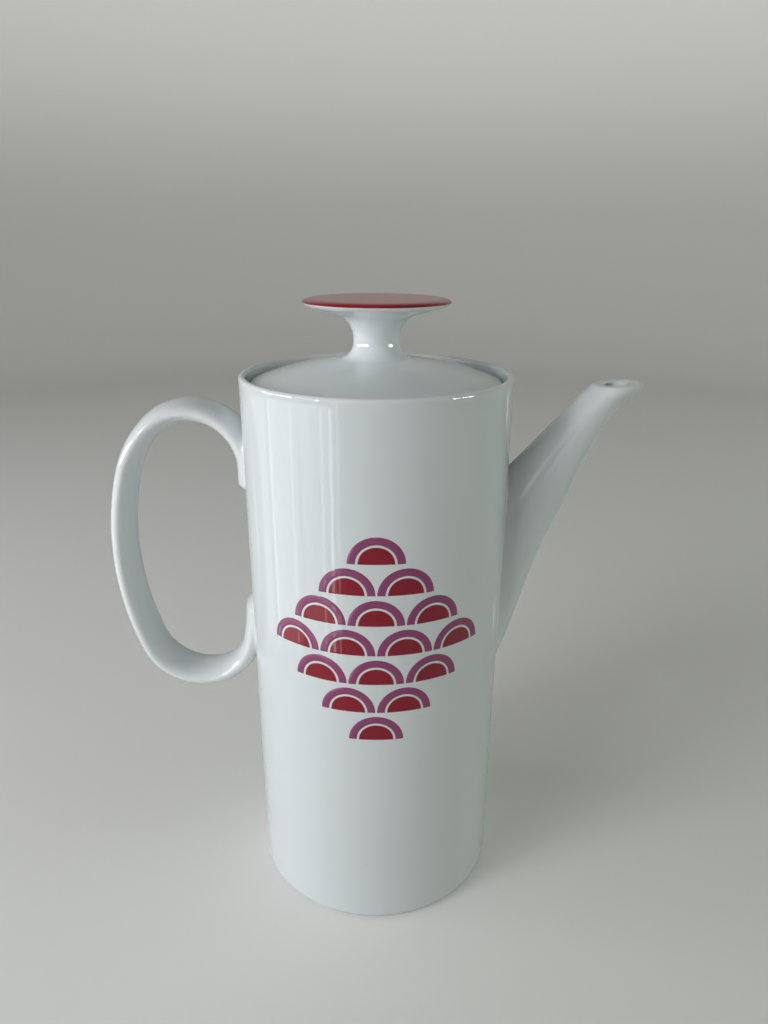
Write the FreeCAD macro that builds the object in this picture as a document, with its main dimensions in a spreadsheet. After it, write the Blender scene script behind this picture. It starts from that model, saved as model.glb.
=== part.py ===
"""Coffee pot in glazed porcelain: a tapered pot with a spout and a loop handle, and a lift-off lid.

Frame: origin at the centre of the foot on the table, +Z up, the spout along +X, the handle along -X,
and the ornament on the -Y and +Y sides. Millimetres.
"""
import FreeCAD
import Part
import Sketcher
import math
import os

from FreeCAD import Placement, Rotation, Vector

doc = FreeCAD.newDocument("coffee_pot")

# Driving dimensions, one aliased cell each

SIZES = {
    # pot wall and foot
    "rim_radius": 50.0,
    "base_radius": 48.7,
    "rim_level": 209.4,
    "wall": 3.2,
    "floor_top": 5.2,
    "floor_corner": 7.0,
    "foot_inner_radius": 40.5,
    "foot_outer_radius": 46.4,
    "foot_recess": 2.2,
    "foot_edge_round": 2.2,
    # lid seat inside the rim
    "rim_thickness": 2.7,
    "rim_round": 1.2,
    "seat_level": 202.6,
    "seat_radius": 42.4,
    "seat_lip": 3.0,
    "seat_slope": 11.0,
    # port through the wall behind the spout
    "port_width": 12.0,
    "port_low": 116.0,
    "port_high": 164.0,
    # spout
    "spout_wall": 2.6,
    # handle: an oval ribbon bent along five tangent arcs
    "ribbon_width": 19.2,
    "ribbon_thickness": 8.4,
    "handle_sink": 0.7,
    "handle_top_end": 165.0,
    "handle_top_run": 8.1,
    "handle_crown_radius": 21.5,
    "handle_crown_turn": 134.2,
    "handle_shoulder_radius": 43.1,
    "handle_shoulder_turn": 29.7,
    "handle_back_radius": 116.4,
    "handle_back_turn": 36.8,
    "handle_heel_radius": 22.6,
    "handle_heel_turn": 148.0,
    "handle_root_radius": 97.2,
    "handle_root_turn": 11.3,
    # lid
    "lid_radius": 46.5,
    "lid_edge_level": 206.2,
    "lid_edge_round": 0.8,
    "dome_radius": 127.0,
    "lid_thickness": 3.6,
    "ring_radius": 41.4,
    "ring_thickness": 3.0,
    "ring_depth": 15.6,
    "ring_round": 1.2,
    # knob: a waisted stem under a wide thin disc
    "waist_radius": 8.4,
    "waist_level": 221.0,
    "stem_foot_sweep": 6.2,
    "stem_head_level": 228.15,
    "stem_head_sweep": 8.5,
    "disc_radius": 26.6,
    "disc_under_level": 233.6,
    "disc_top_level": 235.2,
    "disc_edge_round": 0.7,
    # red enamel on the knob
    "enamel_radius": 26.2,
    "enamel_thickness": 0.4,
    "enamel_round": 0.25,
    # printed ornament: upright fans in staggered rows that make a lozenge
    "print_level": 124.6,
    "print_turn": 4.0,
    "fan_radius": 9.9,
    "fan_band": 2.9,
    "fan_gap": 0.7,
    "fan_column_pitch": 20.4,
    "fan_row_pitch": 11.5,
    "print_thickness": 0.10,
    "print_sink": 0.04,
}

# Levels worked out from the sizes above, as formulas in the same sheet
FORMULAS = {
    "handle_start_radius":
        "=base_radius + (rim_radius - base_radius) * handle_top_end / rim_level - handle_sink",
    "foot_wall_radius": "=base_radius + (rim_radius - base_radius) * foot_edge_round / rim_level",
    "dome_centre": "=lid_edge_level - sqrt(dome_radius ^ 2 - lid_radius ^ 2)",
    "stem_foot_level": "=dome_centre + sqrt(dome_radius ^ 2 - waist_radius ^ 2)",
    "ring_inner_radius": "=ring_radius - ring_thickness",
    "dome_under_radius": "=dome_radius - lid_thickness",
    "dome_under_edge": "=dome_centre + sqrt(dome_under_radius ^ 2 - ring_inner_radius ^ 2)",
    "dome_under_apex": "=dome_centre + dome_under_radius",
}

# Spout stations from root to lip: centre x, centre z, half height, half width, tilt from level in degrees
SPOUT_STATIONS = [
    (45.0, 125.3, 43.8, 12.0, 90.0),
    (53.2, 143.3, 34.2, 11.5, 88.8),
    (61.2, 162.6, 22.6, 10.9, 85.5),
    (69.2, 178.6, 14.2, 10.0, 76.5),
    (76.8, 193.0, 7.8, 9.0, 49.0),
    (82.6, 201.4, 7.4, 8.4, 14.0),
    (87.4, 206.2, 8.5, 8.5, 0.0),
]

# Fans in each row of the lozenge, from the bottom up
FAN_ROWS = [1, 2, 3, 4, 3, 2, 1]

# Arcs of the handle's centre line, from its upper end round to its lower one
HANDLE_PARTS = ("crown", "shoulder", "back", "heel", "root")

# How near an edge lies to the place that names it, and the least share of a slot that the port must clear
EDGE_MATCH = 0.01
PORT_SHARE = 0.7


def make_sheet():
    """The spreadsheet: every size, formula and spout station in an aliased cell of its own."""
    cells = {alias: str(number) for alias, number in SIZES.items()}
    cells.update(FORMULAS)
    names = ("spout_x", "spout_z", "spout_half_height", "spout_half_width", "spout_tilt")
    for station, numbers in enumerate(SPOUT_STATIONS):
        for name, number in zip(names, numbers):
            cells[f"{name}_{station}"] = str(number)
    made = doc.addObject("Spreadsheet::Sheet", "sizes")
    for row, (alias, text) in enumerate(cells.items(), start=1):
        made.set(f"A{row}", alias)
        made.set(f"B{row}", text)
        made.setAlias(f"B{row}", alias)
    doc.recompute()
    return made


sheet = make_sheet()


def size(name):
    """The number in a named cell."""
    return float(sheet.get(name))


def cell(expression):
    """Put the sheet's name before every size in an expression."""
    words = []
    for word in expression.split():
        words.append(f"sizes.{word}" if word[0].isalpha() else word)
    return " ".join(words)


def value(expression):
    """The number that a sum of named sizes gives."""
    total = 0.0
    sign = 1.0
    for word in expression.split():
        if word in "+-":
            sign = 1.0 if word == "+" else -1.0
        else:
            total += sign * (size(word) if word[0].isalpha() else float(word))
    return total


def new_body(label):
    body = doc.addObject("PartDesign::Body", label)
    body.Label = label
    return body


def origin_plane(body, role):
    for feature in body.Origin.OriginFeatures:
        if feature.Role == role:
            return feature
    raise ValueError(role)


def new_sketch(body, name, role="XZ_Plane"):
    sketch = body.newObject("Sketcher::SketchObject", name)
    sketch.AttachmentSupport = [(origin_plane(body, role), "")]
    sketch.MapMode = "FlatFace"
    return sketch


def bind(sketch, kind, first, first_point, text):
    """A dimension from the sketch origin to a point, bound to the sheet, or held on the axis at zero."""
    distance = value(text)
    if text == "0":
        axis = -2 if kind == "DistanceX" else -1
        sketch.addConstraint(Sketcher.Constraint("PointOnObject", first, first_point, axis))
        return
    number = sketch.addConstraint(Sketcher.Constraint(kind, -1, 1, first, first_point, distance))
    sketch.setExpression(f"Constraints[{number}]", cell(text))


def draw_profile(sketch, corners, arcs=None):
    """A closed outline through corners (radius, level), each a sum of named sizes.

    arcs maps a corner's number to the (radius, level) centre of the arc that runs from it to the next
    corner, anticlockwise when its third entry is true.
    """
    arcs = arcs or {}
    count = len(corners)
    points = [Vector(value(r), value(z), 0) for r, z in corners]
    ends = []
    for number in range(count):
        start = points[number]
        end = points[(number + 1) % count]
        if number not in arcs:
            ends.append((sketch.addGeometry(Part.LineSegment(start, end)), 1, 2))
            continue
        centre_r, centre_z, anticlockwise = arcs[number]
        centre = Vector(value(centre_r), value(centre_z), 0)
        first, last = (start, end) if anticlockwise else (end, start)
        circle = Part.Circle(centre, Vector(0, 0, 1), (start - centre).Length)
        arc = Part.ArcOfCircle(circle, circle.parameter(first), circle.parameter(last))
        geometry = sketch.addGeometry(arc)
        ends.append((geometry, 1, 2) if anticlockwise else (geometry, 2, 1))
    for number in range(count):
        geometry, _, last = ends[number]
        following, first, _ = ends[(number + 1) % count]
        sketch.addConstraint(Sketcher.Constraint("Coincident", geometry, last, following, first))
    for number, (r, z) in enumerate(corners):
        geometry, first, _ = ends[number]
        bind(sketch, "DistanceX", geometry, first, r)
        bind(sketch, "DistanceY", geometry, first, z)
    for number, (centre_r, _, _) in arcs.items():
        bind(sketch, "DistanceX", ends[number][0], 3, centre_r)


def revolve(body, sketch, name):
    turn = body.newObject("PartDesign::Revolution", name)
    turn.Profile = sketch
    turn.ReferenceAxis = (sketch, ["V_Axis"])
    turn.Angle = 360.0
    doc.recompute()
    return turn


def circle_edges(feature, places):
    """Names of the round edges about the Z axis at the given (radius, level) places."""
    names = []
    for number, edge in enumerate(feature.Shape.Edges, start=1):
        if edge.Degenerated or not isinstance(edge.Curve, Part.Circle):
            continue
        curve = edge.Curve
        for radius, level in places:
            if abs(curve.Radius - radius) < EDGE_MATCH and abs(curve.Center.z - level) < EDGE_MATCH:
                names.append(f"Edge{number}")
    if len(names) != len(places):
        raise ValueError(f"{feature.Label}: {len(names)} edges for {len(places)} places")
    return names


def round_edges(body, base, places, alias, name):
    """A fillet on round edges, with its radius bound to the sheet."""
    fillet = body.newObject("PartDesign::Fillet", name)
    fillet.Base = (base, circle_edges(base, places))
    fillet.setExpression("Radius", cell(alias))
    doc.recompute()
    return fillet


def wall_radius(level):
    """Outer radius of the tapered pot wall at a level."""
    taper = (size("rim_radius") - size("base_radius")) / size("rim_level")
    return size("base_radius") + taper * level


def make_pot_body():
    """Wall, floor, foot ring, lid seat and spout port, turned from one outline."""
    body = new_body("pot_body")
    sketch = new_sketch(body, "pot_outline")
    outline = [
        ("0", "foot_recess"),
        ("foot_inner_radius - foot_recess", "foot_recess"),
        ("foot_inner_radius", "0"),
        ("foot_outer_radius", "0"),
        ("foot_wall_radius", "foot_edge_round"),
        ("rim_radius", "rim_level"),
        ("rim_radius - rim_thickness", "rim_level"),
        ("rim_radius - rim_thickness", "seat_level"),
        ("seat_radius", "seat_level"),
        ("seat_radius", "seat_level - seat_lip"),
        ("rim_radius - wall", "seat_level - seat_lip - seat_slope"),
        ("base_radius - wall", "floor_top"),
        ("0", "floor_top"),
    ]
    draw_profile(sketch, outline)
    turned = revolve(body, sketch, "pot_turned")
    rim = size("rim_radius")
    inner_rim = value("rim_radius - rim_thickness")
    rim_level = size("rim_level")
    lip = round_edges(body, turned, [(rim, rim_level), (inner_rim, rim_level)], "rim_round", "rim_rounding")
    corner = [(value("base_radius - wall"), size("floor_top"))]
    floor = round_edges(body, lip, corner, "floor_corner", "floor_rounding")
    foot = [(size("foot_wall_radius"), size("foot_edge_round"))]
    round_edges(body, floor, foot, "foot_edge_round", "foot_rounding")
    make_port(body)
    return body


def make_port(body):
    """An upright slot through the wall on the spout's side, with round ends."""
    sketch = new_sketch(body, "port_outline", "YZ_Plane")
    half = size("port_width") / 2
    low = size("port_low") + half
    high = size("port_high") - half
    up = Vector(0, 0, 1)
    right = sketch.addGeometry(Part.LineSegment(Vector(half, low, 0), Vector(half, high, 0)))
    top_circle = Part.Circle(Vector(0, high, 0), up, half)
    top = sketch.addGeometry(Part.ArcOfCircle(top_circle, 0, math.pi))
    left = sketch.addGeometry(Part.LineSegment(Vector(-half, high, 0), Vector(-half, low, 0)))
    low_circle = Part.Circle(Vector(0, low, 0), up, half)
    bottom = sketch.addGeometry(Part.ArcOfCircle(low_circle, math.pi, 2 * math.pi))
    for first, second in ((right, top), (top, left), (left, bottom), (bottom, right)):
        sketch.addConstraint(Sketcher.Constraint("Tangent", first, 2, second, 1))
    sketch.addConstraint(Sketcher.Constraint("PointOnObject", top, 3, -2))
    sketch.addConstraint(Sketcher.Constraint("PointOnObject", bottom, 3, -2))
    width = sketch.addConstraint(Sketcher.Constraint("Radius", top, half))
    sketch.setExpression(f"Constraints[{width}]", "sizes.port_width / 2")
    for arc, level, text in (
        (bottom, low, "sizes.port_low + sizes.port_width / 2"),
        (top, high, "sizes.port_high - sizes.port_width / 2"),
    ):
        number = sketch.addConstraint(Sketcher.Constraint("DistanceY", -1, 1, arc, 3, level))
        sketch.setExpression(f"Constraints[{number}]", text)
    doc.recompute()
    before = body.Shape.Volume
    pocket = body.newObject("PartDesign::Pocket", "port")
    pocket.Profile = sketch
    pocket.setExpression("Length", cell("rim_radius + wall"))
    pocket.Reversed = True
    doc.recompute()
    removed = before - body.Shape.Volume
    slot = size("port_width") * value("port_high - port_low") * size("wall")
    print(f"port removes {removed:.0f} mm3 of wall, a plain slot of that size is {slot:.0f} mm3")
    if removed < PORT_SHARE * slot:
        raise ValueError("the port missed the wall")


def spout_loft(label, inset):
    """A smooth loft through the oval stations, drawn in by inset on every side.

    Each oval stands across the spout: upright at the root and level at the lip.
    """
    ovals = []
    for station in range(len(SPOUT_STATIONS)):
        stretch = FreeCAD.Matrix()
        half_height = size(f"spout_half_height_{station}") - inset
        half_width = size(f"spout_half_width_{station}") - inset
        stretch.scale(half_height, half_width, 1)
        oval = Part.Wire([Part.Circle().toShape()]).transformGeometry(stretch)
        centre = Vector(size(f"spout_x_{station}"), 0, size(f"spout_z_{station}"))
        oval.Placement = Placement(centre, Rotation(Vector(0, 1, 0), size(f"spout_tilt_{station}")))
        ovals.append(oval)
    loft = doc.addObject("Part::Feature", label)
    loft.Shape = Part.makeLoft(ovals, True, False)
    return loft


def pot_envelope(name):
    """The cone that the outside of the pot wall lies on."""
    cone = doc.addObject("Part::Cone", name)
    cone.setExpression("Radius1", cell("base_radius"))
    cone.setExpression("Radius2", cell("rim_radius"))
    cone.setExpression("Height", cell("rim_level"))
    return cone


def make_spout():
    """Outer loft less its bore, cut to fit the pot wall."""
    outside = spout_loft("spout_outside", 0.0)
    bore = spout_loft("spout_bore", size("spout_wall"))
    hollow = doc.addObject("Part::Cut", "spout_hollow")
    hollow.Base = outside
    hollow.Tool = bore
    spout = doc.addObject("Part::Cut", "spout")
    spout.Label = "spout"
    spout.Base = hollow
    spout.Tool = pot_envelope("spout_wall_cone")
    doc.recompute()
    return spout


def draw_handle_path(path):
    """The handle's centre line: a short climb on the wall, then arcs that turn left through a circle."""
    start = Vector(-size("handle_start_radius"), size("handle_top_end"), 0)
    point = start + Vector(0, size("handle_top_run"), 0)
    line = path.addGeometry(Part.LineSegment(start, point))
    path.addConstraint(Sketcher.Constraint("Vertical", line))
    climb = path.addConstraint(Sketcher.Constraint("Distance", line, size("handle_top_run")))
    path.setExpression(f"Constraints[{climb}]", cell("handle_top_run"))
    place = path.addConstraint(Sketcher.Constraint("DistanceX", line, 1, -1, 1, -start.x))
    path.setExpression(f"Constraints[{place}]", cell("handle_start_radius"))
    bind(path, "DistanceY", line, 1, "handle_top_end")
    last = line
    angle = 0.0
    for part in HANDLE_PARTS:
        radius = size(f"handle_{part}_radius")
        turn = math.radians(size(f"handle_{part}_turn"))
        centre = point - Vector(math.cos(angle), math.sin(angle), 0) * radius
        circle = Part.Circle(centre, Vector(0, 0, 1), radius)
        arc = path.addGeometry(Part.ArcOfCircle(circle, angle, angle + turn))
        path.addConstraint(Sketcher.Constraint("Tangent", last, 2, arc, 1))
        number = path.addConstraint(Sketcher.Constraint("Radius", arc, radius))
        path.setExpression(f"Constraints[{number}]", f"sizes.handle_{part}_radius")
        number = path.addConstraint(Sketcher.Constraint("Angle", arc, turn))
        path.setExpression(f"Constraints[{number}]", f"sizes.handle_{part}_turn * 1 deg")
        angle += turn
        point = centre + Vector(math.cos(angle), math.sin(angle), 0) * radius
        last = arc


def draw_handle_section(section):
    """The ribbon's oval, across the start of the centre line."""
    section.setExpression("AttachmentOffset.Base.z", cell("handle_top_end"))
    centre = Vector(-size("handle_start_radius"), 0, 0)
    half_width = Vector(0, size("ribbon_width") / 2, 0)
    half_thickness = Vector(size("ribbon_thickness") / 2, 0, 0)
    oval = section.addGeometry(Part.Ellipse(centre + half_width, centre - half_thickness, centre))
    section.exposeInternalGeometry(oval)
    width_line = oval + 1
    thickness_line = oval + 2
    section.addConstraint(Sketcher.Constraint("Vertical", width_line))
    section.addConstraint(Sketcher.Constraint("PointOnObject", oval, 3, -1))
    for line, alias in ((width_line, "ribbon_width"), (thickness_line, "ribbon_thickness")):
        number = section.addConstraint(Sketcher.Constraint("Distance", line, size(alias)))
        section.setExpression(f"Constraints[{number}]", cell(alias))
    number = section.addConstraint(Sketcher.Constraint("DistanceX", oval, 3, -1, 1, -centre.x))
    section.setExpression(f"Constraints[{number}]", cell("handle_start_radius"))


def make_handle():
    """An oval section carried along the bent centre line, its ends cut to fit the wall."""
    body = new_body("handle")
    path = new_sketch(body, "handle_path")
    draw_handle_path(path)
    section = new_sketch(body, "handle_section", "XY_Plane")
    draw_handle_section(section)
    doc.recompute()
    pipe = body.newObject("PartDesign::AdditivePipe", "handle_loop")
    pipe.Profile = section
    pipe.Spine = path
    doc.recompute()
    whole = pipe.Shape.Volume
    trim = body.newObject("PartDesign::SubtractiveCone", "handle_trim")
    trim.setExpression("Radius1", cell("base_radius"))
    trim.setExpression("Radius2", cell("rim_radius"))
    trim.setExpression("Height", cell("rim_level"))
    doc.recompute()
    oval_area = math.pi / 4 * size("ribbon_width") * size("ribbon_thickness")
    print(f"handle pipe {whole:.0f} mm3, section times length {oval_area * path.Shape.Length:.0f} mm3,",
          f"trimmed {trim.Shape.Volume:.0f} mm3")
    return body


def make_lid_cover():
    """Shallow dome with its locating ring below and the lower half of the waisted stem above."""
    body = new_body("lid_cover")
    sketch = new_sketch(body, "cover_outline")
    outline = [
        ("0", "waist_level"),
        ("waist_radius", "waist_level"),
        ("waist_radius", "stem_foot_level"),
        ("lid_radius", "lid_edge_level"),
        ("lid_radius", "seat_level"),
        ("ring_radius", "seat_level"),
        ("ring_radius", "seat_level - ring_depth"),
        ("ring_inner_radius", "seat_level - ring_depth"),
        ("ring_inner_radius", "dome_under_edge"),
        ("0", "dome_under_apex"),
    ]
    arcs = {2: ("0", "dome_centre", False), 8: ("0", "dome_centre", True)}
    draw_profile(sketch, outline, arcs)
    turned = revolve(body, sketch, "cover_turned")
    stem = [(size("waist_radius"), size("stem_foot_level"))]
    swept = round_edges(body, turned, stem, "stem_foot_sweep", "stem_foot")
    edge = [(size("lid_radius"), size("lid_edge_level"))]
    edged = round_edges(body, swept, edge, "lid_edge_round", "cover_edge")
    ring_foot = value("seat_level - ring_depth")
    ring = [(size("ring_radius"), ring_foot), (size("ring_inner_radius"), ring_foot)]
    round_edges(body, edged, ring, "ring_round", "ring_edges")
    return body


def make_lid_knob():
    """Upper half of the waisted stem, swept out under a wide thin disc."""
    body = new_body("lid_knob")
    sketch = new_sketch(body, "knob_outline")
    outline = [
        ("0", "waist_level"),
        ("waist_radius", "waist_level"),
        ("waist_radius", "stem_head_level"),
        ("disc_radius", "disc_under_level"),
        ("disc_radius", "disc_top_level"),
        ("0", "disc_top_level"),
    ]
    draw_profile(sketch, outline)
    turned = revolve(body, sketch, "knob_turned")
    head = [(size("waist_radius"), size("stem_head_level"))]
    swept = round_edges(body, turned, head, "stem_head_sweep", "stem_head")
    edge = [(size("disc_radius"), size("disc_under_level"))]
    round_edges(body, swept, edge, "disc_edge_round", "disc_edge")
    return body


def make_knob_enamel():
    """The red coat on top of the knob's disc."""
    coat = doc.addObject("Part::Cylinder", "enamel_coat")
    coat.setExpression("Radius", cell("enamel_radius"))
    coat.setExpression("Height", cell("enamel_thickness"))
    coat.setExpression("Placement.Base.z", cell("disc_top_level"))
    doc.recompute()
    top = circle_edges(coat, [(size("enamel_radius"), value("disc_top_level + enamel_thickness"))])
    enamel = doc.addObject("Part::Fillet", "knob_enamel")
    enamel.Label = "knob_enamel"
    enamel.Base = coat
    rounding = size("enamel_round")
    enamel.Edges = [(int(name[4:]), rounding, rounding) for name in top]
    doc.recompute()
    return enamel


def fan_places(side):
    """Azimuth and level of each fan's flat foot, for the front (-1) or the back (1) of the pot."""
    middle = math.radians(side * (90 - size("print_turn")))
    radius = wall_radius(size("print_level"))
    low = size("print_level") - size("fan_radius") / 2 - (len(FAN_ROWS) - 1) / 2 * size("fan_row_pitch")
    for row, count in enumerate(FAN_ROWS):
        for column in range(count):
            along = (column - (count - 1) / 2) * size("fan_column_pitch")
            yield middle + along / radius, low + row * size("fan_row_pitch")


def half_disc(radius, azimuth, level):
    """A half round bar that points straight out of the wall, flat side down."""
    outward = Vector(math.cos(azimuth), math.sin(azimuth), 0)
    up = Vector(0, 0, 1)
    bar = Part.makeCylinder(radius, 2 * size("rim_radius"), Vector(), up, 180)
    bar.Placement = Placement(up * level, Rotation(up.cross(outward), up, outward, "XYZ"))
    return bar


def print_film():
    """The thin tapered skin in which every printed shape lies."""
    skins = []
    for offset in (size("print_thickness") - size("print_sink"), -size("print_sink")):
        base = size("base_radius") + offset
        skins.append(Part.makeCone(base, size("rim_radius") + offset, size("rim_level")))
    return skins[0].cut(skins[1])


def make_print(label, side, outer, inner):
    """One colour of the ornament: half discs, or half rings where inner is more than zero."""
    film = print_film()
    shapes = []
    for azimuth, level in fan_places(side):
        fan = half_disc(outer, azimuth, level)
        if inner > 0:
            fan = fan.cut(half_disc(inner, azimuth, level))
        shapes.extend(fan.common(film).Solids)
    colour = doc.addObject("Part::Feature", label)
    colour.Label = label
    colour.Shape = Part.makeCompound(shapes)
    return colour


def make_prints():
    """A mauve band and a red heart for every fan, on the front and on the back."""
    band_inner = value("fan_radius - fan_band")
    heart = value("fan_radius - fan_band - fan_gap")
    prints = []
    for face, side in (("front", -1), ("back", 1)):
        prints.append(make_print(f"{face}_print_mauve", side, size("fan_radius"), band_inner))
        prints.append(make_print(f"{face}_print_red", side, heart, 0))
    return prints


SUB_PARTS = [
    make_pot_body(),
    make_spout(),
    make_handle(),
    make_lid_cover(),
    make_lid_knob(),
    make_knob_enamel(),
]
SUB_PARTS += make_prints()


def check_document():
    """Every object is up to date, and every sub-part is one or more valid closed solids."""
    doc.recompute()
    for item in doc.Objects:
        if "Invalid" in item.State or "Error" in item.State:
            raise RuntimeError(f"{item.Label}: {item.State}")
    for part in SUB_PARTS:
        if part.Shape.isNull() or not part.Shape.isValid() or not part.Shape.Solids:
            raise RuntimeError(f"{part.Label}: no valid solid")


check_document()
os.makedirs("parts", exist_ok=True)
for part in SUB_PARTS:
    part.Shape.exportStep(f"parts/{part.Label}.step")
    box = part.Shape.optimalBoundingBox()
    print(f"{part.Label:20s} {len(part.Shape.Solids):3d} solids {part.Shape.Volume:10.1f} mm3",
          f"x {box.XMin:.1f} {box.XMax:.1f} y {box.YMin:.1f} {box.YMax:.1f} z {box.ZMin:.1f} {box.ZMax:.1f}")
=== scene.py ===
# %% [markdown]
# # A porcelain coffee pot
# A tall, slightly tapered pot of white glazed porcelain, with a slanting spout, a ribbon handle
# bent into a loop, and a loose lid with a red disc for a knob. A fired ornament of small fans lies
# on its front and back. The solids of the real pieces come in as a fixed frame. This lesson works
# out a fine surface for each of them, gives it a glaze, and leaves every piece where its solid is.
# Lengths are in metres, +Z is up, the spout points along +X and the handle along -X.

# %% Load the frame
import math

import bmesh
import bpy
import numpy as np
from mathutils import Matrix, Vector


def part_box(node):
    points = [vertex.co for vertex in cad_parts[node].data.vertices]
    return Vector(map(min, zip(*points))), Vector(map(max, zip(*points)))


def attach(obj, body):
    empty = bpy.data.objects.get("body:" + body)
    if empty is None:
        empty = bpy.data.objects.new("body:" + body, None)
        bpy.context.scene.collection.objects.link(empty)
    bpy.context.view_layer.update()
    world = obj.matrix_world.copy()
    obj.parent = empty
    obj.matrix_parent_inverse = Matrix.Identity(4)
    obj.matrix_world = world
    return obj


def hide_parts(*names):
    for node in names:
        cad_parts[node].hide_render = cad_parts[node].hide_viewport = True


MM = 0.001

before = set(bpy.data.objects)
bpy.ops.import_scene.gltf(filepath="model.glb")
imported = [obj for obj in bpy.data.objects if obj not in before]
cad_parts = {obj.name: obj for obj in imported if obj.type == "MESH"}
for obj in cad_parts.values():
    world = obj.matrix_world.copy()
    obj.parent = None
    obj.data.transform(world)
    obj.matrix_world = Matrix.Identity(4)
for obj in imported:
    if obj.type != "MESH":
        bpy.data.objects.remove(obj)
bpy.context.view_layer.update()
print("solids:", ", ".join(sorted(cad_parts)))

# %% [markdown]
# ## The camera
# The picture is taken from close by, a little above the lid and a little to the spout's side. A
# camera can be aimed with a constraint, or placed by three plain turns. The turns are kept here,
# because each one has a meaning: the turn about the upright, the tilt down, and the small roll of a
# hand-held camera.

# %% Place the camera
CAMERA_PLACE = (0.0197, -0.2815, 0.2569)
CAMERA_TURN = 3.4
CAMERA_TILT = 70.12
CAMERA_ROLL = 0.28
LENS_MM = 27.04
SENSOR_MM = 36.0


def turn(degrees, axis):
    """Matrix of a turn about one axis."""
    return Matrix.Rotation(math.radians(degrees), 4, axis)


def add_object(name, data):
    """A new object at the origin, in the scene."""
    made = bpy.data.objects.new(name, data)
    bpy.context.scene.collection.objects.link(made)
    return made


camera = add_object("camera", bpy.data.cameras.new("camera"))
camera.data.lens = LENS_MM
camera.data.sensor_width = SENSOR_MM
aim = turn(CAMERA_TURN, "Z") @ turn(CAMERA_TILT, "X") @ turn(CAMERA_ROLL, "Z")
camera.matrix_world = Matrix.Translation(CAMERA_PLACE) @ aim
bpy.context.scene.camera = camera
bpy.context.scene.view_settings.view_transform = "Standard"
print("camera at", CAMERA_PLACE)

# %% [markdown]
# ## Grids
# Every surface here is a grid of points worked out with whole arrays. A mesh needs two things: the
# points, and for each face the numbers of its corners. The numbers of a grid are themselves an
# array, so its faces are four shifted copies of it. A grid that closes on itself repeats its first
# row or column of numbers, not of points, which leaves no seam. A pole is one point, joined to a
# ring by triangles.

# %% Faces of a grid


def grid_numbers(rows, columns):
    """Point numbers of a grid, row after row."""
    return np.arange(rows * columns).reshape(rows, columns)


def wrapped(numbers, axis):
    """The same numbers with the first row (axis 0) or column (axis 1) repeated after the last."""
    return np.concatenate([numbers, numbers.take([0], axis)], axis)


def quads(numbers):
    """Corners of every cell, in order: a point, the next in its row, and the two above them."""
    corners = [numbers[:-1, :-1], numbers[:-1, 1:], numbers[1:, 1:], numbers[1:, :-1]]
    return np.stack(corners, axis=-1).reshape(-1, 4)


def fan(pole, ring):
    """Triangles from a pole to each step of a ring of points."""
    return np.stack([np.full(len(ring), pole), ring, np.roll(ring, -1)], axis=-1)


print("a grid of 3 by 4 points has", len(quads(grid_numbers(3, 4))), "faces")

# %% From arrays to a piece
SHARP_DEGREES = 50


def make_piece(name, points, faces, material):
    """A mesh of the points and faces, smooth except at edges sharper than SHARP_DEGREES."""
    mesh = bpy.data.meshes.new(name)
    corners = [corner for part in faces for corner in part.tolist()]
    mesh.from_pydata(points.reshape(-1, 3), [], corners)
    mesh.shade_smooth()
    mesh.set_sharp_from_angle(angle=math.radians(SHARP_DEGREES))
    mesh.materials.append(material)
    return add_object(name, mesh)


def add_mask(piece, name, values):
    """One number per point, which a material can read by its name."""
    layer = piece.data.attributes.new(name, "FLOAT", "POINT")
    layer.data.foreach_set("value", np.ravel(values).astype(np.float32))


def measure(piece):
    """Print a piece's size. A closed shell that faces outwards has no open edge and a volume over 0."""
    shell = bmesh.new()
    shell.from_mesh(piece.data)
    open_edges = sum(not edge.is_manifold for edge in shell.edges)
    triangles = sum(len(face.verts) - 2 for face in shell.faces)
    volume = shell.calc_volume(signed=True) / MM ** 3
    shell.free()
    size = f"{triangles} triangles, {open_edges} open edges, {volume:.0f} cubic millimetres"
    print(f"{piece.name}: {size}")


def dress(piece, body, slot, *nodes):
    """Let a piece stand for its solids and ride on their body. The slot is not used."""
    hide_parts(*nodes)
    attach(piece, body)
    measure(piece)


print("edges sharper than", SHARP_DEGREES, "degrees stay crisp")

# %% [markdown]
# ## The glaze
# Glaze is a skin of glass over the white body. It is never quite level: it ripples slowly, has a
# fine peel like that of an orange, and holds a few tiny specks. Where it runs off an edge it is
# thin and the body shows whiter, and that paler edge colour is made light enough to also paint the
# highlight on rims and edges. The same skin lies on the porcelain, on the enamel of the knob and
# on the printed colours, so it is a node group of its own. It reads object coordinates, and all
# pieces share one origin, so the ripples run on from the pot over the ornament without a break.

# %% Helpers for nodes
# places of the share and the two colours among a mix node's inputs, and of the result among its outputs
MIX_INPUTS = (0, 6, 7)
MIX_RESULT = 2


def add_node(tree, kind, **settings):
    """A new node with its settings: a name that is a property is set as one, any other is an input."""
    node = tree.nodes.new(kind)
    for name, value in settings.items():
        if hasattr(node, name):
            setattr(node, name, value)
        else:
            node.inputs[name.replace("_", " ").title()].default_value = value
    return node


def feed(tree, socket, source):
    """Link another node's socket to an input, or set a plain value on it."""
    if isinstance(source, bpy.types.NodeSocket):
        tree.links.new(source, socket)
    else:
        socket.default_value = source


def math_node(tree, operation, first, second):
    """The sum, product or other result of two numbers or sockets."""
    node = add_node(tree, "ShaderNodeMath", operation=operation)
    for socket, source in zip(node.inputs, (first, second)):
        feed(tree, socket, source)
    return node.outputs[0]


def mix_colour(tree, share, first, second):
    """First colour where the share is 0, second where it is 1."""
    node = add_node(tree, "ShaderNodeMix", data_type="RGBA")
    for place, source in zip(MIX_INPUTS, (share, first, second)):
        feed(tree, node.inputs[place], source)
    return node.outputs[MIX_RESULT]


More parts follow.
